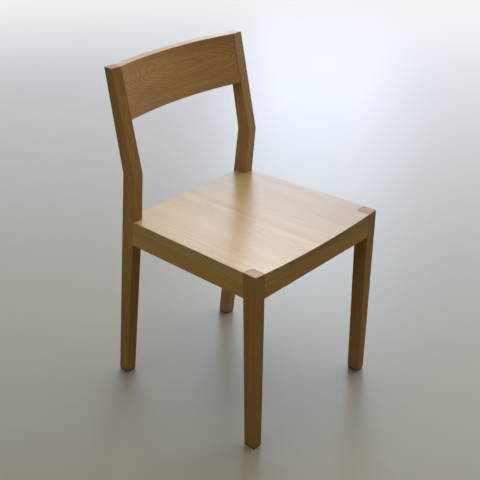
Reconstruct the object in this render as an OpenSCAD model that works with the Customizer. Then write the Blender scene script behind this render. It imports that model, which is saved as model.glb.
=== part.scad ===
// Dining side chair in solid oak: tapered front legs that run up flush through the seat, cranked rear
// legs, four mortised seat rails, a boarded seat scooped between its sides, and a wide bent top rail.
// Millimetres, +Z up, with the front of the chair towards -Y. The origin lies on the floor in the
// middle of the chair's width and depth. Left and right are those of a person who faces the chair.

/* [Overall] */
// Width across the outer faces of the front legs
front_w = 430; // [400:1:480]
// Width across the outer faces of the rear legs, where the side rails meet them
rear_w = 410; // [380:1:430]
// Length of a side, from the front of the chair to the face of the rear leg
side_l = 375; // [340:1:420]
// Height of the seat at its corners
seat_h = 450; // [420:1:480]
// Height of the back
back_h = 794; // [760:1:860]

/* [Front legs] */
// Width of a front leg at the rail, seen from the front
front_leg_w = 29; // [26:0.5:34]
// Depth of a front leg at the rail, seen from the side
front_leg_d = 35; // [30:0.5:40]
// Width of a front foot
front_foot_w = 24; // [20:0.5:28]
// Depth of a front foot
front_foot_d = 31; // [24:0.5:34]
// Radius of the inner corner where a front leg passes through the seat
leg_corner_r = 6; // [2:0.5:9]

/* [Rear legs] */
// Thickness of a rear leg, seen from the front
rear_leg_w = 27; // [24:0.5:32]
// How far a rear foot stands behind the seat joint
rear_foot_back = 66; // [40:1:90]
// Depth of a rear foot
rear_foot_d = 29.5; // [22:0.5:34]
// Height of the bend above the seat
bend_up = 113; // [90:1:140]
// How far the bend stands in front of the seat joint
bend_forward = 12; // [4:1:18]
// Depth of a rear leg at the bend
bend_d = 35; // [30:0.5:40]
// How far the top of a rear leg lies behind the seat joint
top_back = 36; // [15:1:60]
// Depth of a rear leg at its top
top_d = 24; // [22:0.5:30]

/* [Seat] */
// Thickness of the seat boards
seat_t = 22; // [18:0.5:28]
// How far the seat runs back past the faces of the rear legs
seat_tail = 30; // [28:0.5:34]
// Depth of the scoop at the front edge
dish_front = 9; // [4:0.5:12]
// Depth of the scoop at the rear edge
dish_rear = 1.5; // [0.5:0.5:4]
// Gap left round the legs, so that the seat can move with the seasons
seat_gap = 0.3; // [0.2:0.1:0.8]

/* [Seat rails] */
// Thickness of the seat rails
rail_t = 22; // [20:0.5:24]
// Height of the seat rails
rail_h = 39.5; // [34:0.5:60]

/* [Top rail] */
// Height of the top rail
top_rail_h = 113; // [80:1:140]
// Thickness of the top rail
top_rail_t = 20; // [18:0.5:20]
// How far the middle of the top rail is bent back
top_rail_bow = 20; // [10:1:30]
// Step from the face of the rear legs back to the top rail
top_rail_step = 1; // [0.5:0.5:1.5]

/* [Joints] */
// Thickness of the tenons on the seat rails
tenon_t = 9; // [7:0.5:10]
// Shoulder above and below the tenons on the seat rails
tenon_shoulder = 6; // [4:0.5:9]
// Thickness of the tenons on the top rail
top_tenon_t = 8; // [6:0.5:9]
// Length of the tenons on the top rail
top_tenon_l = 16; // [12:0.5:18]
// Shoulder above and below the tenons on the top rail
top_tenon_shoulder = 13; // [8:1:20]
// Glue film round each tenon
glue_gap = 0.1; // [0.05:0.05:0.2]
// Empty space between the mitred ends of two tenons, and past the ends of the others
end_gap = 1; // [0.5:0.1:2]

/* [Corner blocks] */
// Length of a corner block along each rail
block_l = 55; // [50:1:70]
// Height of a corner block
block_h = 25; // [20:1:30]
// Gap between a corner block and the leg
block_gap = 1; // [0.5:0.1:3]

/* [Screws] */
// Diameter of the screws
screw_d = 4; // [3.5:0.1:5]
// Diameter of the screw heads
screw_head_d = 8; // [7:0.1:9]
// Height of the screw heads
screw_head_h = 2.6; // [2:0.1:3.5]
// Length of the screws through the corner blocks into the rails
block_screw_l = 28; // [24:1:30]
// Wood of the corner block under the head of a block screw
block_screw_grip = 12; // [10:0.5:14]
// Distance of a block screw from the outside of the other rail
block_screw_at = 59; // [57:0.5:62]
// Length of the screws through the corner blocks into the seat
seat_screw_l = 38; // [32:1:40]
// Distance of a seat screw from the outsides of both rails
seat_screw_at = 41; // [39:0.5:43]

/* [Feet] */
// Thickness of the pads under the feet
pad_t = 3; // [1.5:0.5:5]
// Distance of a pad's edge from the faces of the foot
pad_inset = 1; // [1:0.5:4]
// Chamfer round the bottom of each foot
foot_chamfer = 0.75; // [0.5:0.25:2.5]

/* [Hidden] */
$fn = 48;
// Sides of the large arcs of the top rail
arc_fn = 720;
// Overrun of every cut
cut = 1;
// Overlap of two halves that make one piece
middle_overlap = 5;
// How far a rounded corner's arc is moved out, so that it crosses the faces instead of touching them
corner_shift = 0.05;
// Clearance of a screw in its hole
screw_clear = 0.1;
// Extra width of the seat screws' holes in the corner blocks
seat_screw_play = 1.5;
// Clearance of a screw head in its pocket
head_clear = 1;
// Length of the point of a screw, and the diameter of its tip
screw_point = 6;
screw_tip_d = 0.4;
// Colours of the frame, the seat boards, the corner blocks, the foot pads and the screws
oak = [0.63, 0.47, 0.29];
oak_light = [0.72, 0.57, 0.38];
block_wood = [0.70, 0.56, 0.40];
pad_black = [0.10, 0.10, 0.10];
screw_steel = [0.72, 0.72, 0.70];

// Each side of the chair is a flat frame, turned in plan by this angle
splay = asin((front_w - rear_w) / 2 / side_l);
// Heights of the joint between the seat and its rails
rail_z1 = seat_h - seat_t;
rail_z0 = rail_z1 - rail_h;
tenon_z0 = rail_z0 + tenon_shoulder;
tenon_z1 = rail_z1 - tenon_shoulder;
// The tenons of the seat rails lie in the middle of the rails' thickness
tenon_in = (rail_t - tenon_t) / 2;
tenon_out = tenon_in + tenon_t;
// Rear edge of the seat, and the rear rail's tenons, which stand under it
seat_d = side_l + seat_tail;
rear_tenon_y0 = seat_d - tenon_out;
rear_tenon_y1 = seat_d - tenon_in;
// Corners of the rear leg, seen from the side
foot_u = side_l + rear_foot_back;
bend_u = side_l - bend_forward;
bend_z = seat_h + bend_up;
top_u = side_l + top_back;
// The top rail leans back as the upper part of the rear legs does
rake = atan((top_u - bend_u) / (back_h - bend_z));
top_rail_z0 = back_h - top_rail_h;
// Depth of the chair over its rear feet
overall_d = rear_back_u(pad_t + foot_chamfer) * cos(splay);
// Columns and rows of the scoop, and how far its cutter runs past the sides as a share of their half width
scoop_columns = 32;
scoop_rows = 6;
scoop_past_share = 0.04;
// Greatest width of the seat, and the edges of its boards as shares of that
seat_w = -2 * min(side_x(0, 0), side_x(0, seat_d));
board_shares = [-0.5, -0.25, 0, 0.25, 0.5];

// Front and rear faces of the rear leg below the seat and below the bend, at height z
function rear_front_u(z) = foot_u + (side_l - foot_u) * (z - pad_t) / (seat_h - pad_t);
function rear_back_u(z) =
    foot_u + rear_foot_d + (bend_u + bend_d - foot_u - rear_foot_d) * (z - pad_t) / (bend_z - pad_t);

// Across the chair, the place of a point at depth y that lies w inside the left outer face
function side_x(w, y) = -front_w / 2 + y * tan(splay) + w / cos(splay);
function plan_points(points) = [for (p = points) [side_x(p[0], p[1]), p[1]]];

// How far inside the left outer face a half has to reach, at depth y, to overlap its mirror image
function past_middle(y) = (front_w / 2 - y * tan(splay) + middle_overlap) * cos(splay);

// Puts a piece that is drawn for the left side, with y counted from the front, in its place
module place(right = false) {
    translate([0, -overall_d / 2, 0])
        mirror([right ? 1 : 0, 0, 0])
            children();
}

// Both sides of a piece that is drawn for the left
module both_sides() {
    children();
    mirror([1, 0, 0]) children();
}

// The flat frame of the left side: x inwards from its outer face, y back along it
module side_frame() {
    translate([-front_w / 2, 0, 0])
        rotate([0, 0, -splay])
            children();
}

// A plan outline of [w, y] points, raised from z0 to z1
module plan_block(points, z0, z1) {
    translate([0, 0, z0])
        linear_extrude(z1 - z0)
            polygon(plan_points(points));
}

// A side view of [y, z] points, run across from x0 to x1
module side_view(points, x0, x1) {
    translate([x0, 0, 0])
        rotate([90, 0, 90])
            linear_extrude(x1 - x0)
                polygon(points);
}

// A front view of [x, z] points, run back from the front to depth d, with an overrun in front
module front_view(points, d) {
    translate([0, d, 0])
        rotate([90, 0, 0])
            linear_extrude(d + cut)
                polygon(points);
}

// Front view of a rear leg, from its chamfered foot up
rear_leg_outline = [
    [0, pad_t + foot_chamfer], [foot_chamfer, pad_t], [rear_leg_w - foot_chamfer, pad_t],
    [rear_leg_w, pad_t + foot_chamfer], [rear_leg_w, back_h + cut], [0, back_h + cut]
];

// A solid through plan outlines of [w, y] points, one above the other, each given as [z, points]
module stacked(outlines) {
    n = len(outlines[0][1]);
    last = len(outlines) - 1;
    points = [for (o = outlines) each [for (p = plan_points(o[1])) [p[0], p[1], o[0]]]];
    faces = concat(
        [[for (k = [0:n - 1]) k]],
        [for (j = [0:last - 1]) for (k = [0:n - 1])
            [j * n + k, (j + 1) * n + k, (j + 1) * n + (k + 1) % n, j * n + (k + 1) % n]],
        [[for (k = [n - 1:-1:0]) last * n + k]]
    );
    polyhedron(points, faces);
}

// Corners of a leg that is w by y, less a margin all round
function leg_corners(w, y, margin = 0) =
    [[margin, margin], [w - margin, margin], [w - margin, y - margin], [margin, y - margin]];

// What is cut away outside a rounded corner at [w, y], with its sides along the chair's side and front
module round_off(w, y, r) {
    in = r - corner_shift;
    centre = [side_x(w - in, y - in), y - in];
    inward = [cos(splay), -sin(splay)];
    difference() {
        polygon([
            centre, centre + r * inward, centre + (r + cut) * inward,
            [side_x(w + cut, y + cut), y + cut], centre + [0, r + cut], centre + [0, r]
        ]);
        translate(centre) circle(r);
    }
}

// The space above the scooped seat: straight from front to back, hollow across from side to side
function scoop_depth(y) = dish_front + (dish_rear - dish_front) * y / seat_d;
function scoop_point(i, j) = let (
        share = (1 + scoop_past_share) * (2 * i / scoop_columns - 1),
        y = -cut + (seat_d + 2 * cut) * j / scoop_rows
    ) [-share * side_x(0, y), y, seat_h - scoop_depth(y) * (1 - share * share)];
module scoop() {
    per_row = scoop_columns + 1;
    count = per_row * (scoop_rows + 1);
    low = [for (j = [0:scoop_rows]) for (i = [0:scoop_columns]) scoop_point(i, j)];
    high = [for (p = low) [p[0], p[1], seat_h + dish_front]];
    function at(i, j) = i + j * per_row;
    faces = concat(
        [for (j = [0:scoop_rows - 1]) for (i = [0:scoop_columns - 1]) each [
            [at(i, j), at(i + 1, j), at(i + 1, j + 1)],
            [at(i, j), at(i + 1, j + 1), at(i, j + 1)],
            [count + at(i, j), count + at(i + 1, j + 1), count + at(i + 1, j)],
            [count + at(i, j), count + at(i, j + 1), count + at(i + 1, j + 1)]
        ]],
        [for (i = [0:scoop_columns - 1]) each [
            [at(i, 0), count + at(i, 0), count + at(i + 1, 0), at(i + 1, 0)],
            [at(i + 1, scoop_rows), count + at(i + 1, scoop_rows),
                count + at(i, scoop_rows), at(i, scoop_rows)]
        ]],
        [for (j = [0:scoop_rows - 1]) each [
            [at(0, j + 1), count + at(0, j + 1), count + at(0, j), at(0, j)],
            [at(scoop_columns, j), count + at(scoop_columns, j),
                count + at(scoop_columns, j + 1), at(scoop_columns, j + 1)]
        ]]
    );
    polyhedron(concat(low, high), faces);
}

// Mortises of the front leg: they meet inside it, where the tenons of its two rails are mitred
module front_mortises() {
    near = tenon_in - glue_gap;
    far = tenon_out + glue_gap;
    plan_block([
            [near, near], [front_leg_w + cut, near], [front_leg_w + cut, far], [far, far],
            [far, front_leg_d + cut], [near, front_leg_d + cut]
        ], tenon_z0 - glue_gap, tenon_z1 + glue_gap);
}

// Mortises of the rear leg for the side rail and the rear rail, which meet in the same way
module rear_mortises() {
    near = tenon_in - glue_gap;
    far = tenon_out + glue_gap;
    y0 = rear_tenon_y0 - glue_gap;
    y1 = rear_tenon_y1 + glue_gap;
    plan_block([
            [near, side_l - cut], [far, side_l - cut], [far, y0], [rear_leg_w + cut, y0],
            [rear_leg_w + cut, y1], [near, y1]
        ], tenon_z0 - glue_gap, tenon_z1 + glue_gap);
}

module front_leg() {
    edge_share = foot_chamfer / (rail_z0 - pad_t);
    difference() {
        stacked([
            [pad_t, leg_corners(front_foot_w, front_foot_d, foot_chamfer)],
            [pad_t + foot_chamfer, leg_corners(
                front_foot_w + (front_leg_w - front_foot_w) * edge_share,
                front_foot_d + (front_leg_d - front_foot_d) * edge_share)],
            [rail_z0, leg_corners(front_leg_w, front_leg_d)],
            [seat_h + cut, leg_corners(front_leg_w, front_leg_d)]
        ]);
        translate([0, 0, rail_z1])
            linear_extrude(seat_t + 2 * cut)
                round_off(front_leg_w, front_leg_d, leg_corner_r);
        front_mortises();
        scoop();
    }
}

module rear_leg() {
    z_edge = pad_t + foot_chamfer;
    difference() {
        side_frame()
            intersection() {
                side_view([
                        [rear_front_u(z_edge), z_edge], [foot_u + foot_chamfer, pad_t],
                        [foot_u + rear_foot_d - foot_chamfer, pad_t], [rear_back_u(z_edge), z_edge],
                        [bend_u + bend_d, bend_z], [top_u + top_d, back_h], [top_u, back_h],
                        [bend_u, bend_z], [side_l, seat_h]
                    ], 0, rear_leg_w);
                front_view(rear_leg_outline, foot_u + rear_foot_d + cut);
            }
        rear_mortises();
        top_tenon(glue_gap, end_gap);
    }
}

module front_rail() {
    difference() {
        union() {
            both_sides() plan_block([
                    [front_leg_w, 0], [past_middle(0), 0],
                    [past_middle(rail_t), rail_t], [front_leg_w, rail_t]
                ], rail_z0, rail_z1);
            both_sides() plan_block([
                    [tenon_in + end_gap, tenon_in], [past_middle(tenon_in), tenon_in],
                    [past_middle(tenon_out), tenon_out], [tenon_out + end_gap, tenon_out]
                ], tenon_z0, tenon_z1);
        }
        both_sides() block_screw_across(false) screw_hole(block_screw_l);
    }
}

module rear_rail() {
    difference() {
        union() {
            both_sides() plan_block([
                    [rear_leg_w, seat_d - rail_t], [past_middle(seat_d - rail_t), seat_d - rail_t],
                    [past_middle(seat_d), seat_d], [rear_leg_w, seat_d]
                ], rail_z0, rail_z1);
            both_sides() plan_block([
                    [tenon_out + end_gap, rear_tenon_y0], [past_middle(rear_tenon_y0), rear_tenon_y0],
                    [past_middle(rear_tenon_y1), rear_tenon_y1], [tenon_in + end_gap, rear_tenon_y1]
                ], tenon_z0, tenon_z1);
        }
        both_sides() block_screw_across(true) screw_hole(block_screw_l);
    }
}

module side_rail() {
    difference() {
        union() {
            difference() {
                side_frame() side_view([
                        [0, rail_z0], [rear_front_u(rail_z0), rail_z0], [rear_front_u(rail_z1), rail_z1],
                        [0, rail_z1]
                    ], 0, rail_t);
                translate([-front_w / 2 - cut, -rail_t, rail_z0 - cut])
                    cube([2 * rail_t, rail_t + front_leg_d, rail_h + 2 * cut]);
            }
            plan_block([
                    [tenon_in, tenon_in + end_gap], [tenon_out, tenon_out + end_gap],
                    [tenon_out, rear_tenon_y0 - end_gap], [tenon_in, rear_tenon_y1 - end_gap]
                ], tenon_z0, tenon_z1);
        }
        block_screw_aside(false) screw_hole(block_screw_l);
        block_screw_aside(true) screw_hole(block_screw_l);
    }
}

// The frame in which the top rail is bent: z up along the rake, y square to it, from the rail's ends
top_end_x = -front_w / 2 + top_u * sin(splay) + rear_leg_w * cos(splay);
top_end_y = top_u * cos(splay) - rear_leg_w * sin(splay) + top_rail_step;
bow = top_rail_bow * cos(rake);
bend_r = (top_end_x * top_end_x + bow * bow) / 2 / bow;
top_end_t = sqrt((bend_r + top_rail_t) * (bend_r + top_rail_t) - top_end_x * top_end_x) - bend_r + bow;
module raked() {
    translate([0, top_end_y, back_h])
        rotate([-rake, 0, 0])
            translate([0, 0, -2 * top_rail_h])
                linear_extrude(3 * top_rail_h)
                    children();
}

// The space between the inner faces of the rear legs, less a margin on each side
module between_legs(margin, z0, z1) {
    both_sides() plan_block([
            [rear_leg_w + margin, 0], [past_middle(0), 0],
            [past_middle(2 * seat_d), 2 * seat_d], [rear_leg_w + margin, 2 * seat_d]
        ], z0, z1);
}

// Left tenon of the top rail, or with a gap the mortise for it
module top_tenon(gap, past_end) {
    y0 = (top_end_t - top_tenon_t) / 2;
    intersection() {
        raked()
            translate([top_end_x - 2 * top_tenon_l, y0 - gap])
                square([3 * top_tenon_l, top_tenon_t + 2 * gap]);
        between_legs(-top_tenon_l - past_end, top_rail_z0 + top_tenon_shoulder - gap,
            back_h - top_tenon_shoulder + gap);
    }
}

module top_rail() {
    intersection() {
        raked()
            intersection() {
                difference() {
                    translate([0, bow - bend_r]) circle(bend_r + top_rail_t, $fn = arc_fn);
                    translate([0, bow - bend_r]) circle(bend_r, $fn = arc_fn);
                }
                translate([2 * top_end_x, -top_rail_t]) square([-4 * top_end_x, 4 * top_rail_t + bow]);
            }
        between_legs(0, top_rail_z0, back_h);
    }
    both_sides() top_tenon(0, 0);
}

// The whole seat: notched round the legs, drilled from below and scooped
module seat() {
    difference() {
        both_sides() plan_block([
                [0, 0], [past_middle(0), 0], [past_middle(seat_d), seat_d], [0, seat_d]
            ], rail_z1, seat_h + cut);
        both_sides() difference() {
            w = front_leg_w + seat_gap;
            y = front_leg_d + seat_gap;
            plan_block([[-cut, -cut], [w, -cut], [w, y], [-cut, y]], rail_z1 - cut, seat_h + 2 * cut);
            translate([0, 0, rail_z1 - cut])
                linear_extrude(seat_t + 4 * cut)
                    round_off(w, y, leg_corner_r + seat_gap);
        }
        both_sides() side_frame() side_view([
                [rear_front_u(rail_z1 - cut) - seat_gap, rail_z1 - cut], [seat_d + rear_leg_w, rail_z1 - cut],
                [seat_d + rear_leg_w, seat_h + cut], [rear_front_u(seat_h + cut) - seat_gap, seat_h + cut]
            ], -cut, rear_leg_w + seat_gap);
        both_sides() seat_screw_places() screw_hole(seat_screw_l);
        scoop();
    }
}

module seat_board(n) {
    x0 = seat_w * board_shares[n - 1];
    x1 = seat_w * board_shares[n];
    intersection() {
        seat();
        translate([x0, -cut, rail_z1 - cut])
            cube([x1 - x0, seat_d + 2 * cut, seat_t + 2 * cut]);
    }
}

// The corner block in an angle of the rails, cut back to clear the leg
module corner_block(rear) {
    far = rail_t + block_l;
    leg_w = (rear ? rear_leg_w : front_leg_w) + block_gap;
    leg_y = rear
        ? rear_front_u(rail_z1) * cos(splay) - rear_leg_w * sin(splay) - block_gap
        : front_leg_d + block_gap;
    rail_y = rear ? seat_d - rail_t : rail_t;
    far_y = rear ? seat_d - far : far;
    difference() {
        plan_block([
                [leg_w, rail_y], [far, rail_y], [rail_t, far_y], [rail_t, leg_y], [leg_w, leg_y]
            ], rail_z1 - block_h, rail_z1);
        block_screw_across(rear) screw_hole(block_screw_l);
        block_screw_aside(rear) screw_hole(block_screw_l);
        seat_screw_places(rear) cylinder(h = block_h + cut, d = screw_d + seat_screw_play);
    }
}

// Places of the screws, each with its axis along +Z from the underside of its head
block_screw_z = rail_z1 - block_h / 2;
module block_screw_across(rear) {
    y = rail_t + block_screw_grip;
    translate([side_x(block_screw_at, rear ? seat_d : 0), rear ? seat_d - y : y, block_screw_z])
        rotate([rear ? -90 : 90, 0, 0])
            children();
}
module block_screw_aside(rear) {
    side_frame()
        translate([rail_t + block_screw_grip, rear ? seat_d - block_screw_at : block_screw_at, block_screw_z])
            rotate([0, -90, 0])
                children();
}
module seat_screw_places(rear) {
    for (at_rear = is_undef(rear) ? [false, true] : [rear]) {
        y = at_rear ? seat_d - seat_screw_at : seat_screw_at;
        translate([side_x(seat_screw_at, y), y, rail_z1 - block_h]) children();
    }
}

// A round-headed wood screw, and the hole and pocket that it sits in
module wood_screw(l) {
    translate([0, 0, -screw_head_h])
        cylinder(h = screw_head_h, d1 = screw_head_d - screw_head_h, d2 = screw_head_d);
    cylinder(h = l - screw_point, d = screw_d);
    translate([0, 0, l - screw_point]) cylinder(h = screw_point, d1 = screw_d, d2 = screw_tip_d);
}
module screw_hole(l) {
    cylinder(h = l + end_gap, d = screw_d + 2 * screw_clear);
    translate([0, 0, -block_l]) cylinder(h = block_l, d = screw_head_d + 2 * head_clear);
}

// The pad under a foot, smaller than the foot all round
module foot_pad(rear) {
    if (rear) {
        side_frame()
            translate([pad_inset, foot_u + pad_inset, 0])
                cube([rear_leg_w - 2 * pad_inset, rear_foot_d - 2 * pad_inset, pad_t]);
    } else {
        plan_block([
                [pad_inset, pad_inset], [front_foot_w - pad_inset, pad_inset],
                [front_foot_w - pad_inset, front_foot_d - pad_inset], [pad_inset, front_foot_d - pad_inset]
            ], 0, pad_t);
    }
}

module front_leg_left() { color(oak) place() front_leg(); }
module front_leg_right() { color(oak) place(true) front_leg(); }
module rear_leg_left() { color(oak) place() rear_leg(); }
module rear_leg_right() { color(oak) place(true) rear_leg(); }
module front_rail_piece() { color(oak) place() front_rail(); }
module rear_rail_piece() { color(oak) place() rear_rail(); }
module side_rail_left() { color(oak) place() side_rail(); }
module side_rail_right() { color(oak) place(true) side_rail(); }
module top_rail_piece() { color(oak) place() top_rail(); }
module seat_piece(n) { color(oak_light) place() seat_board(n); }
module block_piece(rear, right) { color(block_wood) place(right) corner_block(rear); }
module pad_piece(rear, right) { color(pad_black) place(right) foot_pad(rear); }
module block_screws() {
    color(screw_steel) place() both_sides() for (rear = [false, true]) {
        block_screw_across(rear) wood_screw(block_screw_l);
        block_screw_aside(rear) wood_screw(block_screw_l);
    }
}
module seat_screws() {
    color(screw_steel) place() both_sides() seat_screw_places() wood_screw(seat_screw_l);
}

front_leg_left();
front_leg_right();
rear_leg_left();
rear_leg_right();
front_rail_piece();  // front_rail
rear_rail_piece();  // rear_rail
side_rail_left();
side_rail_right();
top_rail_piece();  // top_rail
seat_piece(1);  // seat_board_1
seat_piece(2);  // seat_board_2
seat_piece(3);  // seat_board_3
seat_piece(4);  // seat_board_4
block_piece(false, false);  // corner_block_front_left
block_piece(false, true);  // corner_block_front_right
block_piece(true, false);  // corner_block_rear_left
block_piece(true, true);  // corner_block_rear_right
block_screws();
seat_screws();
pad_piece(false, false);  // foot_pad_front_left
pad_piece(false, true);  // foot_pad_front_right
pad_piece(true, false);  // foot_pad_rear_left
pad_piece(true, true);  // foot_pad_rear_right
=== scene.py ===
"""Looks of a solid oak side chair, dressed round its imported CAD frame.

Each wooden piece is a copy of its CAD node with eased edges and a cut of oak of its own: the growth rings,
pores and end grain come from where the piece lay in the tree. Everything is in metres, with the floor at
z = 0 and the front of the chair towards -Y.
"""

import logging
import math
from abc import ABC, abstractmethod
from dataclasses import dataclass, field
from enum import Enum

import bmesh
import bpy
from mathutils import Euler, Matrix, Vector
from mathutils.bvhtree import BVHTree


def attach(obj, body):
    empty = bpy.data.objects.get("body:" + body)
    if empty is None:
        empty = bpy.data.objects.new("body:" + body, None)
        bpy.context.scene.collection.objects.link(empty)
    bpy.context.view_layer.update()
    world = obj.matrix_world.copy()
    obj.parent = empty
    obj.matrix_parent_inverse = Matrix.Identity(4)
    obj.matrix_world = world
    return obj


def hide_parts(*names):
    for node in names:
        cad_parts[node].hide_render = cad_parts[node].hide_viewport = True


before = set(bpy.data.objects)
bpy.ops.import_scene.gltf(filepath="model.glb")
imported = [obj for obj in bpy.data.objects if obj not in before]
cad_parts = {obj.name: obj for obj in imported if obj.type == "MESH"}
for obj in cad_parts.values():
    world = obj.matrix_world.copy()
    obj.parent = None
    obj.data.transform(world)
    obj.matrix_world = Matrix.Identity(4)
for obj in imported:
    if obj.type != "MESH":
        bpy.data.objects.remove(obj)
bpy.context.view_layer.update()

log = logging.getLogger("oak_chair")

Colour = tuple[float, float, float]
Point = tuple[float, float, float]
MM = 0.001
NOISE_MEAN = 0.5


class Grain(Enum):
    """The way that the grain of a piece runs, as the turn from the tree's own upright axis."""

    UP = (0.0, 0.0, 0.0)
    ACROSS = (0.0, 90.0, 0.0)
    FRONT_TO_BACK = (-90.0, 0.0, 0.0)

    def turn(self, tilt: tuple[float, float]) -> Euler:
        """Works out the tree's turn for a piece that was sawn a little out of line with it.

        Args:
            tilt: degrees about the tree's own X and Y.

        Returns:
            The turn of the tree's frame in the chair's frame.
        """
        turned = Euler([math.radians(a) for a in self.value]).to_matrix()
        lean = Euler((math.radians(tilt[0]), math.radians(tilt[1]), 0.0)).to_matrix()
        return (turned @ lean).to_euler()


class NodeSheet:
    """A node tree, with short calls that add nodes and join their sockets."""

    def __init__(self, tree: bpy.types.NodeTree) -> None:
        """Keeps the tree that the nodes go into."""
        self.tree = tree

    def add(self, kind: str, inputs: dict | None = None, **settings: object) -> bpy.types.Node:
        """Adds one node.

        Args:
            kind: the node's type name.
            inputs: values or sockets by input name or number.
            settings: properties of the node.

        Returns:
            The new node.
        """
        node = self.tree.nodes.new(kind)
        for name, value in settings.items():
            setattr(node, name, value)
        for name, value in (inputs or {}).items():
            if isinstance(value, bpy.types.NodeSocket):
                self.tree.links.new(value, node.inputs[name])
            else:
                node.inputs[name].default_value = value
        return node

    def math(self, operation: str, *values: object, clamp: bool = False) -> bpy.types.NodeSocket:
        """Adds a Math node and returns its output."""
        node = self.add("ShaderNodeMath", dict(enumerate(values)), operation=operation, use_clamp=clamp)
        return node.outputs[0]

    def vector(self, operation: str, *values: object, output: str = "Vector") -> bpy.types.NodeSocket:
        """Adds a Vector Math node and returns one of its outputs."""
        node = self.add("ShaderNodeVectorMath", dict(enumerate(values)), operation=operation)
        return node.outputs[output]

    def noise(
        self, place: bpy.types.NodeSocket, scale: Point, detail: float = 2.0, roughness: float = 0.5
    ) -> bpy.types.Node:
        """Adds a noise of its own scale along each axis, in cycles per metre, and returns the node."""
        spread = self.vector("MULTIPLY", place, scale)
        return self.add(
            "ShaderNodeTexNoise", {"Vector": spread, "Scale": 1.0, "Detail": detail, "Roughness": roughness}
        )

    def swing(self, noise: bpy.types.Node, depth: float) -> bpy.types.NodeSocket:
        """Centres a noise on zero and scales it to a depth."""
        return self.math("MULTIPLY", self.math("SUBTRACT", noise.outputs["Fac"], NOISE_MEAN), depth)

    def at_least(self, value: object, least: float) -> bpy.types.NodeSocket:
        """Squeezes 0 to 1 into least to 1."""
        return self.math("MULTIPLY_ADD", value, 1.0 - least, least)

    def step(self, value: object, low: float, high: float) -> bpy.types.NodeSocket:
        """Rises smoothly from 0 at low to 1 at high."""
        node = self.add(
            "ShaderNodeMapRange",
            {"Value": value, "From Min": low, "From Max": high},
            interpolation_type="SMOOTHSTEP",
        )
        return node.outputs["Result"]

    def mixed(self, factor: object, a: object, b: object) -> bpy.types.NodeSocket:
        """Mixes two colours and returns the result."""
        return self.add("ShaderNodeMix", {0: factor, 6: a, 7: b}, data_type="RGBA").outputs[2]


def opaque(colour: Colour) -> tuple[float, float, float, float]:
    """Adds a full alpha to a colour."""
    return (*colour, 1.0)


@dataclass(frozen=True)
class OakFigure:
    """What all oak has in common. Scales are in cycles per metre across, across and along the tree."""

    wander_scale: Point = (7.0, 7.0, 1.1)
    wander_reach: Point = (0.034, 0.034, 0.0)
    ripple_scale: Point = (55.0, 55.0, 6.0)
    early_fades: tuple[float, float] = (0.0, 0.5)
    late_ends: tuple[float, float] = (0.9, 1.0)
    weakest_year: float = 0.25
    streak_scale: Point = (520.0, 520.0, 7.0)
    streak_depth: float = 0.9
    band_scale: Point = (120.0, 120.0, 2.2)
    band_depth: float = 0.8
    broad_scale: Point = (16.0, 16.0, 1.8)
    broad_depth: float = 0.9
    usual_tone: float = 0.72
    pore_scale: Point = (1500.0, 1500.0, 38.0)
    pore_rim: tuple[float, float] = (0.56, 0.68)
    pores_in_late_wood: float = 0.25
    pore_darkness: float = 0.55
    end_facing: tuple[float, float] = (0.6, 0.95)
    pore_dulls: float = 0.12
    end_dulls: float = 0.03
    streak_dulls: float = 0.10
    streak_height: float = 0.25


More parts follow.
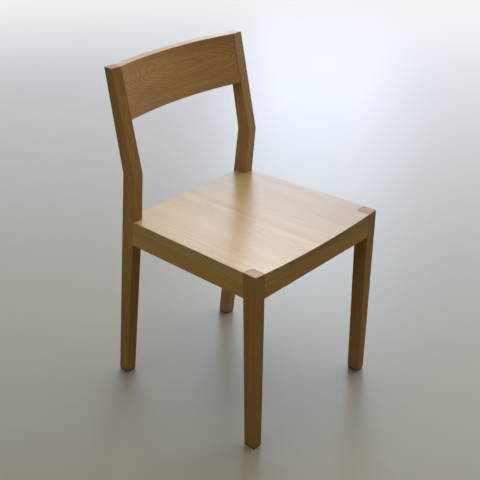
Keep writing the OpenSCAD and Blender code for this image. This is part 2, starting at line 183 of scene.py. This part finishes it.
class ShaderGroups:
    """The shader groups that several finishes share, each built once."""

    OAK = "oak figure"

    def __init__(self, figure: OakFigure = OakFigure()) -> None:
        """Builds every group.

        Args:
            figure: what all oak has in common.
        """
        self.oak = self._oak(figure)

    def _group(
        self, name: str, inputs: dict[str, str], outputs: dict[str, str]
    ) -> tuple[NodeSheet, dict[str, bpy.types.NodeSocket], dict[str, bpy.types.NodeSocket]]:
        """Starts a group.

        Args:
            name: the group's name.
            inputs: socket types by input name.
            outputs: socket types by output name.

        Returns:
            The group's sheet, its inputs' sockets by name, and the sockets to join for its outputs.
        """
        tree = bpy.data.node_groups.new(name, "ShaderNodeTree")
        for socket, kind in inputs.items():
            tree.interface.new_socket(socket, in_out="INPUT", socket_type=kind)
        for socket, kind in outputs.items():
            tree.interface.new_socket(socket, in_out="OUTPUT", socket_type=kind)
        sheet = NodeSheet(tree)
        given = {s.name: s for s in sheet.add("NodeGroupInput").outputs if s.name}
        out = {s.name: s for s in sheet.add("NodeGroupOutput").inputs if s.name}
        return sheet, given, out

    def _oak(self, figure: OakFigure) -> bpy.types.NodeTree:
        """Builds the figure of oak from a place in the tree: rings, streaks, open pores and end grain.

        Args:
            figure: what all oak has in common.

        Returns:
            The group's tree.
        """
        sheet, given, out = self._group(
            self.OAK,
            {
                "Place": "NodeSocketVector",
                "Facing": "NodeSocketVector",
                "Light": "NodeSocketColor",
                "Dark": "NodeSocketColor",
                "Pore": "NodeSocketColor",
                "Ring Width": "NodeSocketFloat",
                "Ring Contrast": "NodeSocketFloat",
                "Year": "NodeSocketFloat",
                "Ripple": "NodeSocketFloat",
                "Streaks": "NodeSocketFloat",
                "End Shade": "NodeSocketFloat",
                "Sheen": "NodeSocketFloat",
            },
            {"Colour": "NodeSocketColor", "Roughness": "NodeSocketFloat", "Height": "NodeSocketFloat"},
        )
        place = given["Place"]
        # The tree isn't a true cylinder: its rings wander slowly along and round it
        wander = sheet.noise(place, figure.wander_scale)
        centred = sheet.vector("SUBTRACT", wander.outputs["Color"], (NOISE_MEAN,) * 3)
        moved = sheet.vector("ADD", sheet.vector("MULTIPLY", centred, figure.wander_reach), place)
        radius = sheet.vector("LENGTH", sheet.vector("MULTIPLY", moved, (1.0, 1.0, 0.0)), output="Value")
        ripple = sheet.noise(place, figure.ripple_scale)
        rings = sheet.math(
            "ADD",
            sheet.math("DIVIDE", radius, given["Ring Width"]),
            sheet.math("MULTIPLY", ripple.outputs["Fac"], given["Ripple"]),
        )
        part = sheet.math("FRACT", rings)
        count = sheet.math("ADD", sheet.math("FLOOR", rings), given["Year"])
        year = sheet.add("ShaderNodeTexWhiteNoise", {"W": count}, noise_dimensions="1D")
        # Early wood is dark and full of pores; late wood is light, and ends at the next year's edge
        ending = sheet.math("SUBTRACT", 1.0, sheet.step(part, *figure.late_ends))
        late = sheet.math("MULTIPLY", sheet.step(part, *figure.early_fades), ending)
        strength = sheet.at_least(year.outputs["Value"], figure.weakest_year)
        early = sheet.math("MULTIPLY", sheet.math("SUBTRACT", 1.0, late), strength)
        streak = sheet.noise(place, figure.streak_scale, detail=3.0, roughness=0.6)
        band = sheet.noise(place, figure.band_scale)
        broad = sheet.noise(place, figure.broad_scale, detail=1.0)
        fine = sheet.math("ADD", sheet.swing(streak, figure.streak_depth), sheet.swing(band, figure.band_depth))
        streaked = sheet.math("MULTIPLY_ADD", fine, given["Streaks"], figure.usual_tone)
        tone = sheet.math(
            "SUBTRACT",
            sheet.math("ADD", streaked, sheet.swing(broad, figure.broad_depth)),
            sheet.math("MULTIPLY", early, given["Ring Contrast"]),
            clamp=True,
        )
        wood = sheet.mixed(tone, given["Dark"], given["Light"])
        grainy = sheet.noise(place, figure.pore_scale, detail=1.0)
        pores = sheet.math(
            "MULTIPLY",
            sheet.step(grainy.outputs["Fac"], *figure.pore_rim),
            sheet.at_least(early, figure.pores_in_late_wood),
            clamp=True,
        )
        pored = sheet.mixed(sheet.math("MULTIPLY", pores, figure.pore_darkness), wood, given["Pore"])
        # End grain drinks more oil, so it is darker and a little duller
        along = sheet.add("ShaderNodeSeparateXYZ", {0: given["Facing"]})
        end = sheet.step(sheet.math("ABSOLUTE", along.outputs["Z"]), *figure.end_facing)
        shade = sheet.math("MULTIPLY", end, given["End Shade"])
        sheet.tree.links.new(sheet.mixed(shade, pored, given["Pore"]), out["Colour"])
        end_dull = sheet.math("MULTIPLY", end, figure.end_dulls)
        dull = sheet.math("MULTIPLY_ADD", pores, figure.pore_dulls, end_dull)
        uneven = sheet.math("MULTIPLY_ADD", streak.outputs["Fac"], figure.streak_dulls, dull)
        sheet.tree.links.new(sheet.math("ADD", uneven, given["Sheen"]), out["Roughness"])
        ridges = sheet.math("MULTIPLY", streak.outputs["Fac"], figure.streak_height)
        sheet.tree.links.new(sheet.math("SUBTRACT", ridges, pores), out["Height"])
        return sheet.tree


@dataclass(frozen=True)
class OakCut:
    """One piece's oak: its colours, and where and how it was sawn from the tree.

    The heart is a point on the tree's middle line, in the chair's frame, and the tilt is in degrees. The
    year picks which rings are strong and which are weak.
    """

    name: str
    grain: Grain
    heart: Point
    tilt: tuple[float, float] = (0.0, 0.0)
    light: Colour = (0.49, 0.267, 0.093)
    dark: Colour = (0.28, 0.138, 0.042)
    pore: Colour = (0.12, 0.055, 0.018)
    ring_width: float = 3.2 * MM
    ring_contrast: float = 0.5
    year: int = 0
    ripple: float = 1.1
    streaks: float = 1.0
    end_shade: float = 0.22
    sheen: float = 0.34
    ior: float = 1.25
    bump: float = 0.25
    pore_depth: float = 0.15 * MM

    def material(self, groups: ShaderGroups) -> bpy.types.Material:
        """Builds the piece's material.

        Args:
            groups: the shared shader groups.

        Returns:
            The new material.
        """
        made = bpy.data.materials.new(self.name)
        made.use_nodes = True
        made.node_tree.nodes.clear()
        sheet = NodeSheet(made.node_tree)
        where = sheet.add("ShaderNodeTexCoord")
        turn = self.grain.turn(self.tilt)
        place = sheet.add(
            "ShaderNodeMapping",
            {"Vector": where.outputs["Object"], "Location": self.heart, "Rotation": turn},
            vector_type="TEXTURE",
        )
        facing = sheet.add(
            "ShaderNodeMapping",
            {"Vector": where.outputs["Normal"], "Rotation": turn},
            vector_type="TEXTURE",
        )
        figure = sheet.add("ShaderNodeGroup", node_tree=groups.oak)
        for name, value in (
            ("Light", opaque(self.light)),
            ("Dark", opaque(self.dark)),
            ("Pore", opaque(self.pore)),
            ("Ring Width", self.ring_width),
            ("Ring Contrast", self.ring_contrast),
            ("Year", float(self.year)),
            ("Ripple", self.ripple),
            ("Streaks", self.streaks),
            ("End Shade", self.end_shade),
            ("Sheen", self.sheen),
        ):
            figure.inputs[name].default_value = value
        sheet.tree.links.new(place.outputs[0], figure.inputs["Place"])
        sheet.tree.links.new(facing.outputs[0], figure.inputs["Facing"])
        bump = sheet.add(
            "ShaderNodeBump",
            {"Height": figure.outputs["Height"], "Strength": self.bump, "Distance": self.pore_depth},
        )
        surface = sheet.add(
            "ShaderNodeBsdfPrincipled",
            {
                "Base Color": figure.outputs["Colour"],
                "Roughness": figure.outputs["Roughness"],
                "Normal": bump.outputs[0],
                "IOR": self.ior,
            },
        )
        sheet.add("ShaderNodeOutputMaterial", {"Surface": surface.outputs[0]})
        return made


@dataclass(frozen=True)
class PlainFinish:
    """A finish of one colour, broken up by a fine speckle, such as moulded plastic or plated steel."""

    name: str
    colour: Colour
    speckle: Colour
    roughness: float
    metallic: float = 0.0
    speckle_scale: float = 900.0
    speckle_rim: tuple[float, float] = (0.4, 0.7)
    unevenness: float = 0.2
    bump: float = 0.2
    grit: float = 0.05 * MM

    def material(self) -> bpy.types.Material:
        """Builds the finish's material."""
        made = bpy.data.materials.new(self.name)
        made.use_nodes = True
        made.node_tree.nodes.clear()
        sheet = NodeSheet(made.node_tree)
        where = sheet.add("ShaderNodeTexCoord")
        spots = sheet.noise(where.outputs["Object"], (self.speckle_scale,) * 3).outputs["Fac"]
        speckled = sheet.step(spots, *self.speckle_rim)
        colour = sheet.mixed(speckled, opaque(self.colour), opaque(self.speckle))
        smoothest = self.roughness - self.unevenness * NOISE_MEAN
        rough = sheet.math("MULTIPLY_ADD", spots, self.unevenness, smoothest)
        bump = sheet.add("ShaderNodeBump", {"Height": spots, "Strength": self.bump, "Distance": self.grit})
        surface = sheet.add(
            "ShaderNodeBsdfPrincipled",
            {"Base Color": colour, "Roughness": rough, "Metallic": self.metallic, "Normal": bump.outputs[0]},
        )
        sheet.add("ShaderNodeOutputMaterial", {"Surface": surface.outputs[0]})
        return made


@dataclass
class Joiner:
    """Copies CAD nodes into finished pieces, with their free edges eased and their joints left crisp.

    The arris is the width of an eased edge, and an edge at a joint gets the joint share of it. Edges are
    eased where they turn by more than the corner. An edge that isn't eased is shaded crisp where it turns by
    more than the crease, and whatever still turns by more than the hard angle afterwards is crisp too.
    """

    arris: float = 0.6 * MM
    joint_share: float = 0.15
    touch: float = 0.4 * MM
    coplanar: float = math.radians(0.02)
    crease: float = math.radians(2.1)
    corner: float = math.radians(20.0)
    hard: float = math.radians(40.0)
    segments: int = 3
    roundness: float = 0.5
    weld: float = 0.002 * MM
    face_weight: int = 100
    trees: dict[str, BVHTree] = field(default_factory=dict)

    def __post_init__(self) -> None:
        """Makes a search tree for every CAD node, to tell joints from free edges."""
        for name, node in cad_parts.items():
            points = [v.co.copy() for v in node.data.vertices]
            self.trees[name] = BVHTree.FromPolygons(points, [tuple(p.vertices) for p in node.data.polygons])

    def _share(self, name: str, edge: bmesh.types.BMEdge, glued: tuple[str, ...]) -> float:
        """How much of the full arris an edge gets.

        Args:
            name: the node that the edge is on.
            edge: the edge.
            glued: nodes that are planed flush with this one.

        Returns:
            1 for a free edge, a small share at a joint, and 0 where pieces are glued flush.
        """
        middle = (edge.verts[0].co + edge.verts[1].co) / 2
        others = (other for other in self.trees if other != name)
        near = [other for other in others if self.trees[other].find_nearest(middle, self.touch)[0]]
        if any(other in glued for other in near):
            return 0.0
        return self.joint_share if near else 1.0

    def _settle(self, made: bpy.types.Object) -> None:
        """Applies the eased edges, and keeps the hard edges where they end at a joint crisp.

        Args:
            made: the object, with its bevel as its only modifier.
        """
        eased = bpy.data.meshes.new_from_object(made.evaluated_get(bpy.context.evaluated_depsgraph_get()))
        made.modifiers.clear()
        shape = bmesh.new()
        shape.from_mesh(eased)
        for edge in shape.edges:
            if len(edge.link_faces) == 2 and edge.calc_face_angle(0.0) > self.hard:
                edge.smooth = False
        shape.to_mesh(eased)
        shape.free()
        eased.name = made.data.name
        made.data = eased

    def piece(
        self,
        name: str,
        finish: bpy.types.Material,
        glued: tuple[str, ...] = (),
        arris: float | None = None,
    ) -> bpy.types.Object:
        """Makes the finished copy of a CAD node, which replaces it.

        Args:
            name: the CAD node.
            finish: the material of the piece.
            glued: nodes that are planed flush with this one.
            arris: width of its eased edges, or None for the usual one.

        Returns:
            The new object.
        """
        shape = bmesh.new()
        shape.from_mesh(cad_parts[name].data)
        bmesh.ops.remove_doubles(shape, verts=shape.verts, dist=self.weld)
        bmesh.ops.dissolve_limit(
            shape,
            angle_limit=self.coplanar,
            verts=shape.verts,
            edges=shape.edges,
            use_dissolve_boundaries=False,
        )
        weight = shape.edges.layers.float.new("bevel_weight_edge")
        for edge in shape.edges:
            if len(edge.link_faces) != 2:
                continue
            angle = edge.calc_face_angle(0.0)
            if angle > self.corner and edge.is_convex:
                edge[weight] = self._share(name, edge, glued)
            edge.smooth = not (angle > self.crease and edge[weight] == 0.0)
        for face in shape.faces:
            face.smooth = True
        mesh = bpy.data.meshes.new("oak_" + name)
        shape.to_mesh(mesh)
        shape.free()
        mesh.materials.append(finish)
        made = bpy.data.objects.new(name + "_dressed", mesh)
        bpy.context.scene.collection.objects.link(made)
        ease = made.modifiers.new("eased edges", "BEVEL")
        ease.limit_method = "WEIGHT"
        ease.affect = "EDGES"
        ease.width = self.arris if arris is None else arris
        ease.segments = self.segments
        ease.profile = self.roundness
        ease.use_clamp_overlap = False
        self._settle(made)
        flat = made.modifiers.new("flat faces", "WEIGHTED_NORMAL")
        flat.keep_sharp = True
        flat.weight = self.face_weight
        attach(made, "root")
        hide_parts(name)
        log.info("%s: %d faces", made.name, len(mesh.polygons))
        return made


class Woodwork(ABC):
    """A group of wooden pieces, each with its own cut of wood."""

    slot: str = "oak_frame"
    edge_glued: bool = False

    @abstractmethod
    def cuts(self) -> dict[str, OakCut]:
        """Gives the wood of every piece, by the piece's name."""

    def dress(self, joiner: Joiner, groups: ShaderGroups) -> list[bpy.types.Object]:
        """Dresses the pieces.

        Args:
            joiner: makes the pieces.
            groups: the shared shader groups.

        Returns:
            The new objects.
        """
        cuts = self.cuts()
        made = []
        for name, cut in cuts.items():
            others = tuple(other for other in cuts if other != name) if self.edge_glued else ()
            made.append(joiner.piece(name, cut.material(groups), glued=others))
        return made


class Legs(Woodwork):
    """The four legs: two tapered front legs, and two cranked rear legs sawn from wide planks."""

    def cuts(self) -> dict[str, OakCut]:
        """Gives the wood of every leg."""
        return {
            # Darker than the usual oak: partly its own tone, partly painted shade on its front faces.
            "front_leg_left": OakCut(
                "oak front leg left",
                Grain.UP,
                heart=(-0.26, -0.31, 0.0),
                tilt=(0.8, -0.5),
                light=(0.45, 0.243, 0.076),
                dark=(0.257, 0.125, 0.034),
                # Its end-grain top is left barely darker than its sides: partly its own colour, partly painted
                # sheen on the top.
                end_shade=0.05,
            ),
            # Its end-grain top is left less dark than usual: partly its own colour, partly painted sheen on the
            # top.
            "front_leg_right": OakCut(
                "oak front leg right", Grain.UP, heart=(0.27, -0.16, 0.4), tilt=(-0.6, 0.7), end_shade=0.18
            ),
            "rear_leg_left": OakCut(
                "oak rear leg left", Grain.UP, heart=(-0.13, 0.26, 0.0), tilt=(1.2, 0.4)
            ),
            # Paler than the usual oak: partly its own tone, partly painted light on its faces.
            "rear_leg_right": OakCut(
                "oak rear leg right",
                Grain.UP,
                heart=(0.11, 0.27, 0.7),
                tilt=(-0.9, 0.5),
                light=(0.58, 0.342, 0.155),
                dark=(0.33, 0.177, 0.069),
            ),
        }


class SeatRails(Woodwork):
    """The four rails under the seat."""

    def cuts(self) -> dict[str, OakCut]:
        """Gives the wood of every rail."""
        return {
            # Paler than the usual oak: partly its own tone, partly painted light on its face.
            "front_rail": OakCut(
                "oak front rail",
                Grain.ACROSS,
                heart=(0.1, -0.31, 0.36),
                tilt=(0.6, 0.8),
                light=(0.60, 0.328, 0.102),
                dark=(0.345, 0.169, 0.046),
            ),
            "rear_rail": OakCut("oak rear rail", Grain.ACROSS, heart=(0.3, 0.09, 0.47), tilt=(0.4, -0.7)),
            # Paler than the usual oak: partly its own tone, partly painted light on its face.
            "side_rail_left": OakCut(
                "oak side rail left",
                Grain.FRONT_TO_BACK,
                heart=(-0.27, 0.1, 0.45),
                tilt=(0.7, 0.5),
                light=(0.68, 0.405, 0.126),
                dark=(0.40, 0.214, 0.057),
            ),
            "side_rail_right": OakCut(
                "oak side rail right", Grain.FRONT_TO_BACK, heart=(0.28, 0.5, 0.37), tilt=(0.5, -0.9)
            ),
        }


class TopRail(Woodwork):
    """The wide bent rail of the back, sawn so near the face of the rings that they show as long ovals."""

    def cuts(self) -> dict[str, OakCut]:
        """Gives the wood of the top rail."""
        return {
            # Paler than the usual oak: partly its own tone, partly painted light on its face.
            "top_rail": OakCut(
                "oak top rail",
                Grain.ACROSS,
                heart=(0.0, 0.2099, 0.7455),
                tilt=(2.4, 0.0),
                light=(0.59, 0.345, 0.13),
                dark=(0.35, 0.187, 0.062),
                ring_width=3.6 * MM,
                year=2554,
                ripple=3.6,
            )
        }


@dataclass
class Seat(Woodwork):
    """The four edge-glued boards of the scooped seat."""

    slot: str = "oak_seat"
    edge_glued: bool = True
    light: Colour = (0.54, 0.36, 0.142)
    dark: Colour = (0.382, 0.237, 0.086)
    pore: Colour = (0.20, 0.118, 0.044)

    def cuts(self) -> dict[str, OakCut]:
        """Gives the wood of every board, from the palest on the left to the darkest: partly their own tones,
        partly painted light across the seat.
        """
        return {
            # Paler boards on the left: partly their own tones, partly painted light where the seat looks
            # brighter.
            "seat_board_1": self._board(1, (-0.19, 0.2, 0.36), (1.2, 0.6), tone=1.16, end_shade=0.25),
            "seat_board_2": self._board(2, (-0.02, -0.4, 0.36), (-1.0, 0.5), tone=1.05, end_shade=0.5),
            "seat_board_3": self._board(3, (0.03, 0.7, 0.35), (0.8, -0.6), tone=0.95, end_shade=0.55),
            "seat_board_4": self._board(4, (0.20, 0.1, 0.37), (1.4, 0.4), tone=0.89, end_shade=0.3),
        }

    def _board(
        self, number: int, heart: Point, tilt: tuple[float, float], tone: float, end_shade: float
    ) -> OakCut:
        """Cuts one board.

        Args:
            number: the board's number, from the left.
            heart: a point on its tree's middle line.
            tilt: its tree's tilt, in degrees.
            tone: how much paler than usual it is, partly as painted light.
            end_shade: how dark its end grain is.

        Returns:
            The board's wood.
        """
        return OakCut(
            f"seat board {number} oak",
            Grain.FRONT_TO_BACK,
            heart,
            tilt,
            light=tuple(tone * part for part in self.light),
            dark=tuple(tone * part for part in self.dark),
            pore=self.pore,
            ring_contrast=0.3,
            streaks=0.55,
            end_shade=end_shade,
            sheen=0.32,
            ior=1.34,
        )


@dataclass
class CornerBlocks(Woodwork):
    """The plain blocks in the corners under the seat."""

    slot: str = "block_wood"
    light: Colour = (0.55, 0.40, 0.23)
    dark: Colour = (0.38, 0.26, 0.14)
    pore: Colour = (0.24, 0.16, 0.08)

    def cuts(self) -> dict[str, OakCut]:
        """Gives the wood of every block."""
        return {
            "corner_block_front_left": self._block("front left", heart=(0.0, -0.3, 0.5)),
            "corner_block_front_right": self._block("front right", heart=(0.0, -0.3, 0.35)),
            "corner_block_rear_left": self._block("rear left", heart=(0.0, 0.3, 0.5)),
            "corner_block_rear_right": self._block("rear right", heart=(0.0, 0.3, 0.35)),
        }

    def _block(self, corner: str, heart: Point) -> OakCut:
        """Cuts one block.

        Args:
            corner: the corner that it sits in.
            heart: a point on its tree's middle line.

        Returns:
            The block's wood.
        """
        return OakCut(
            f"block wood {corner}",
            Grain.ACROSS,
            heart,
            light=self.light,
            dark=self.dark,
            pore=self.pore,
            ring_contrast=0.3,
            sheen=0.5,
        )


@dataclass
class Fittings:
    """The pieces that aren't wood: the screws under the seat, and the black pads under the feet, whose
    near-black is partly their own colour and partly painted shade under each foot.
    """

    steel: PlainFinish = PlainFinish(
        "plated steel", colour=(0.62, 0.61, 0.58), speckle=(0.5, 0.5, 0.48), roughness=0.32, metallic=1.0
    )
    # Nearly black and dull: partly the pads' own colour, partly painted shade in the gap under each foot.
    pad: PlainFinish = PlainFinish(
        "black pad", colour=(0.012, 0.012, 0.012), speckle=(0.022, 0.021, 0.02), roughness=0.8
    )
    screw_arris: float = 0.2 * MM
    pad_arris: float = 0.4 * MM

    def dress(self, joiner: Joiner) -> list[bpy.types.Object]:
        """Dresses the screws and the foot pads.

        Args:
            joiner: makes the pieces.

        Returns:
            The new objects.
        """
        steel, pad = self.steel.material(), self.pad.material()
        screws = ("block_screws", "seat_screws")
        pads = [f"foot_pad_{end}_{side}" for end in ("front", "rear") for side in ("left", "right")]
        made = [joiner.piece(name, steel, arris=self.screw_arris) for name in screws]
        return made + [joiner.piece(name, pad, arris=self.pad_arris) for name in pads]


@dataclass(frozen=True)
class Softbox:
    """One soft light, placed by the way that it lies from the chair.

    Azimuth runs from +Y towards +X. All angles are in degrees, and the width and height are those that the
    chair sees. The level is the light's brightness, where 1 is that of a white surface in full light.
    """

    name: str
    colour: Colour
    azimuth: float
    elevation: float
    width: float
    height: float
    level: float
    distance: float = 7.0
    aim: Point = (0.0, 0.0, 0.4)

    def hang(self) -> None:
        """Hangs the light."""
        turn, rise = math.radians(self.azimuth), math.radians(self.elevation)
        away = Vector((math.sin(turn) * math.cos(rise), math.cos(turn) * math.cos(rise), math.sin(rise)))
        wide, high = (2 * self.distance * math.tan(math.radians(a) / 2) for a in (self.width, self.height))
        lamp = bpy.data.lights.new(self.name, "AREA")
        lamp.shape = "RECTANGLE"
        lamp.size, lamp.size_y = wide, high
        lamp.energy = self.level * math.pi * wide * high
        lamp.color = self.colour
        light = bpy.data.objects.new(self.name, lamp)
        light.location = Vector(self.aim) + away * self.distance
        light.rotation_euler = away.to_track_quat("Z", "Y").to_euler()
        bpy.context.scene.collection.objects.link(light)


DAYLIGHT: Colour = (0.87, 1.0, 1.28)
ROOM_LIGHT: Colour = (1.0, 0.99, 0.97)

SOFTBOXES = (
    Softbox("window", DAYLIGHT, azimuth=54.5, elevation=23.0, width=13.0, height=28.0, level=4.9),
    Softbox("window left", DAYLIGHT, azimuth=33.0, elevation=17.5, width=32.0, height=34.0, level=2.0),
    Softbox("window right", DAYLIGHT, azimuth=71.0, elevation=17.5, width=44.0, height=34.0, level=2.9),
    Softbox("window high", DAYLIGHT, azimuth=52.0, elevation=45.0, width=60.0, height=18.0, level=1.14),
    Softbox("ceiling", ROOM_LIGHT, azimuth=0.0, elevation=90.0, width=60.0, height=60.0, level=1.55),
    Softbox("right wall", ROOM_LIGHT, azimuth=105.0, elevation=25.0, width=40.0, height=44.0, level=2.4),
    Softbox("left wall", ROOM_LIGHT, azimuth=280.0, elevation=28.0, width=45.0, height=45.0, level=0.53),
)


@dataclass
class Studio:
    """The plain floor, the soft lights, the pale surroundings and the camera.

    Light meets the floor in its own colour. The camera sees it darker round the chair, in painted shade,
    and paler beyond, in painted light. The painted light ramp is where the one turns into the other, and
    fading is where the floor turns into the surround, both as distances in metres from the middle of the chair.
    """

    floor_size: float = 40.0
    floor_colour: Colour = (0.23, 0.208, 0.105)
    # The camera's floor colours: painted shade round the chair, painted light beyond it
    shaded_near_colour: Colour = (0.30, 0.272, 0.19)
    lit_far_colour: Colour = (0.355, 0.308, 0.238)
    painted_light_ramp: tuple[float, float] = (0.4, 2.4)
    fading: tuple[float, float] = (2.3, 4.8)
    floor_gloss: float = 0.38
    floor_ior: float = 1.34
    surround: Colour = (0.98, 0.99, 1.0)
    ambient: float = 0.02
    backdrop: float = 0.9
    camera_at: Point = (-1.39139, -1.24036, 1.33170)
    camera_yaw: float = 48.31
    camera_pitch: float = -31.08
    camera_roll: float = -0.12
    focal_px: float = 882.4
    centre_px: float = 60.0
    image_px: float = 480.0
    sensor_mm: float = 36.0

    def build(self) -> None:
        """Builds the studio."""
        self._floor()
        for softbox in SOFTBOXES:
            softbox.hang()
        self._world()
        self._camera()
        bpy.context.scene.view_settings.view_transform = "Standard"

    def _floor(self) -> None:
        """Lays a slightly glossy floor with painted shade round the chair, which turns into painted light away
        from it and then fades.

        Only the camera sees this paler floor with its painted shade and light, so that it throws no more light
        on the chair.
        """
        shape = bmesh.new()
        bmesh.ops.create_grid(shape, x_segments=1, y_segments=1, size=self.floor_size / 2)
        mesh = bpy.data.meshes.new("studio floor")
        shape.to_mesh(mesh)
        shape.free()
        floor = bpy.data.objects.new("studio_floor", mesh)
        bpy.context.scene.collection.objects.link(floor)
        made = bpy.data.materials.new("pale floor")
        made.use_nodes = True
        made.node_tree.nodes.clear()
        sheet = NodeSheet(made.node_tree)
        seen = sheet.add("ShaderNodeLightPath").outputs["Is Camera Ray"]
        where = sheet.add("ShaderNodeTexCoord")
        away = sheet.vector("LENGTH", where.outputs["Object"], output="Value")
        # Painted shade round the chair, turning into painted light further from it
        painted_ramp = sheet.step(away, *self.painted_light_ramp)
        shown = sheet.mixed(painted_ramp, opaque(self.shaded_near_colour), opaque(self.lit_far_colour))
        surface = sheet.add(
            "ShaderNodeBsdfPrincipled",
            {
                "Base Color": sheet.mixed(seen, opaque(self.floor_colour), shown),
                "Roughness": self.floor_gloss,
                "IOR": self.floor_ior,
            },
        )
        haze = sheet.add("ShaderNodeEmission", {"Color": opaque(self.surround), "Strength": self.backdrop})
        faded = sheet.math("MULTIPLY", sheet.step(away, *self.fading), seen)
        blend = sheet.add("ShaderNodeMixShader", {0: faded, 1: surface.outputs[0], 2: haze.outputs[0]})
        sheet.add("ShaderNodeOutputMaterial", {"Surface": blend.outputs[0]})
        mesh.materials.append(made)

    def _world(self) -> None:
        """Sets a dim surround that looks pale to the camera."""
        world = bpy.data.worlds.new("pale surround")
        bpy.context.scene.world = world
        world.use_nodes = True
        world.node_tree.nodes.clear()
        sheet = NodeSheet(world.node_tree)
        seen = sheet.add("ShaderNodeLightPath").outputs["Is Camera Ray"]
        strength = sheet.math("MULTIPLY_ADD", seen, self.backdrop - self.ambient, self.ambient)
        sky = sheet.add("ShaderNodeBackground", {"Color": opaque(self.surround), "Strength": strength})
        sheet.add("ShaderNodeOutputWorld", {"Surface": sky.outputs[0]})

    def _camera(self) -> None:
        """Sets the camera where the photograph was taken from."""
        yaw, pitch, roll = (math.radians(a) for a in (self.camera_yaw, self.camera_pitch, self.camera_roll))
        right = Vector((math.cos(yaw), -math.sin(yaw), 0.0))
        ahead = Vector((math.sin(yaw) * math.cos(pitch), math.cos(yaw) * math.cos(pitch), math.sin(pitch)))
        up = right.cross(ahead)
        turned_right = right * math.cos(roll) + up * math.sin(roll)
        turned_up = up * math.cos(roll) - right * math.sin(roll)
        lens = bpy.data.cameras.new("photo camera")
        lens.sensor_fit = "HORIZONTAL"
        lens.sensor_width = self.sensor_mm
        lens.lens = self.focal_px / self.image_px * lens.sensor_width
        lens.shift_y = self.centre_px / self.image_px
        camera = bpy.data.objects.new("photo_camera", lens)
        turn = Matrix((turned_right, turned_up, -ahead)).transposed()
        camera.matrix_world = Matrix.Translation(self.camera_at) @ turn.to_4x4()
        bpy.context.scene.collection.objects.link(camera)
        bpy.context.scene.camera = camera


def main() -> None:
    """Builds the studio and dresses every piece of the chair."""
    logging.basicConfig(level=logging.INFO, format="%(name)s: %(message)s")
    Studio().build()
    groups = ShaderGroups()
    joiner = Joiner()
    for woodwork in (Legs(), SeatRails(), TopRail(), Seat(), CornerBlocks()):
        woodwork.dress(joiner, groups)
    Fittings().dress(joiner)


if __name__ == "__main__":
    main()
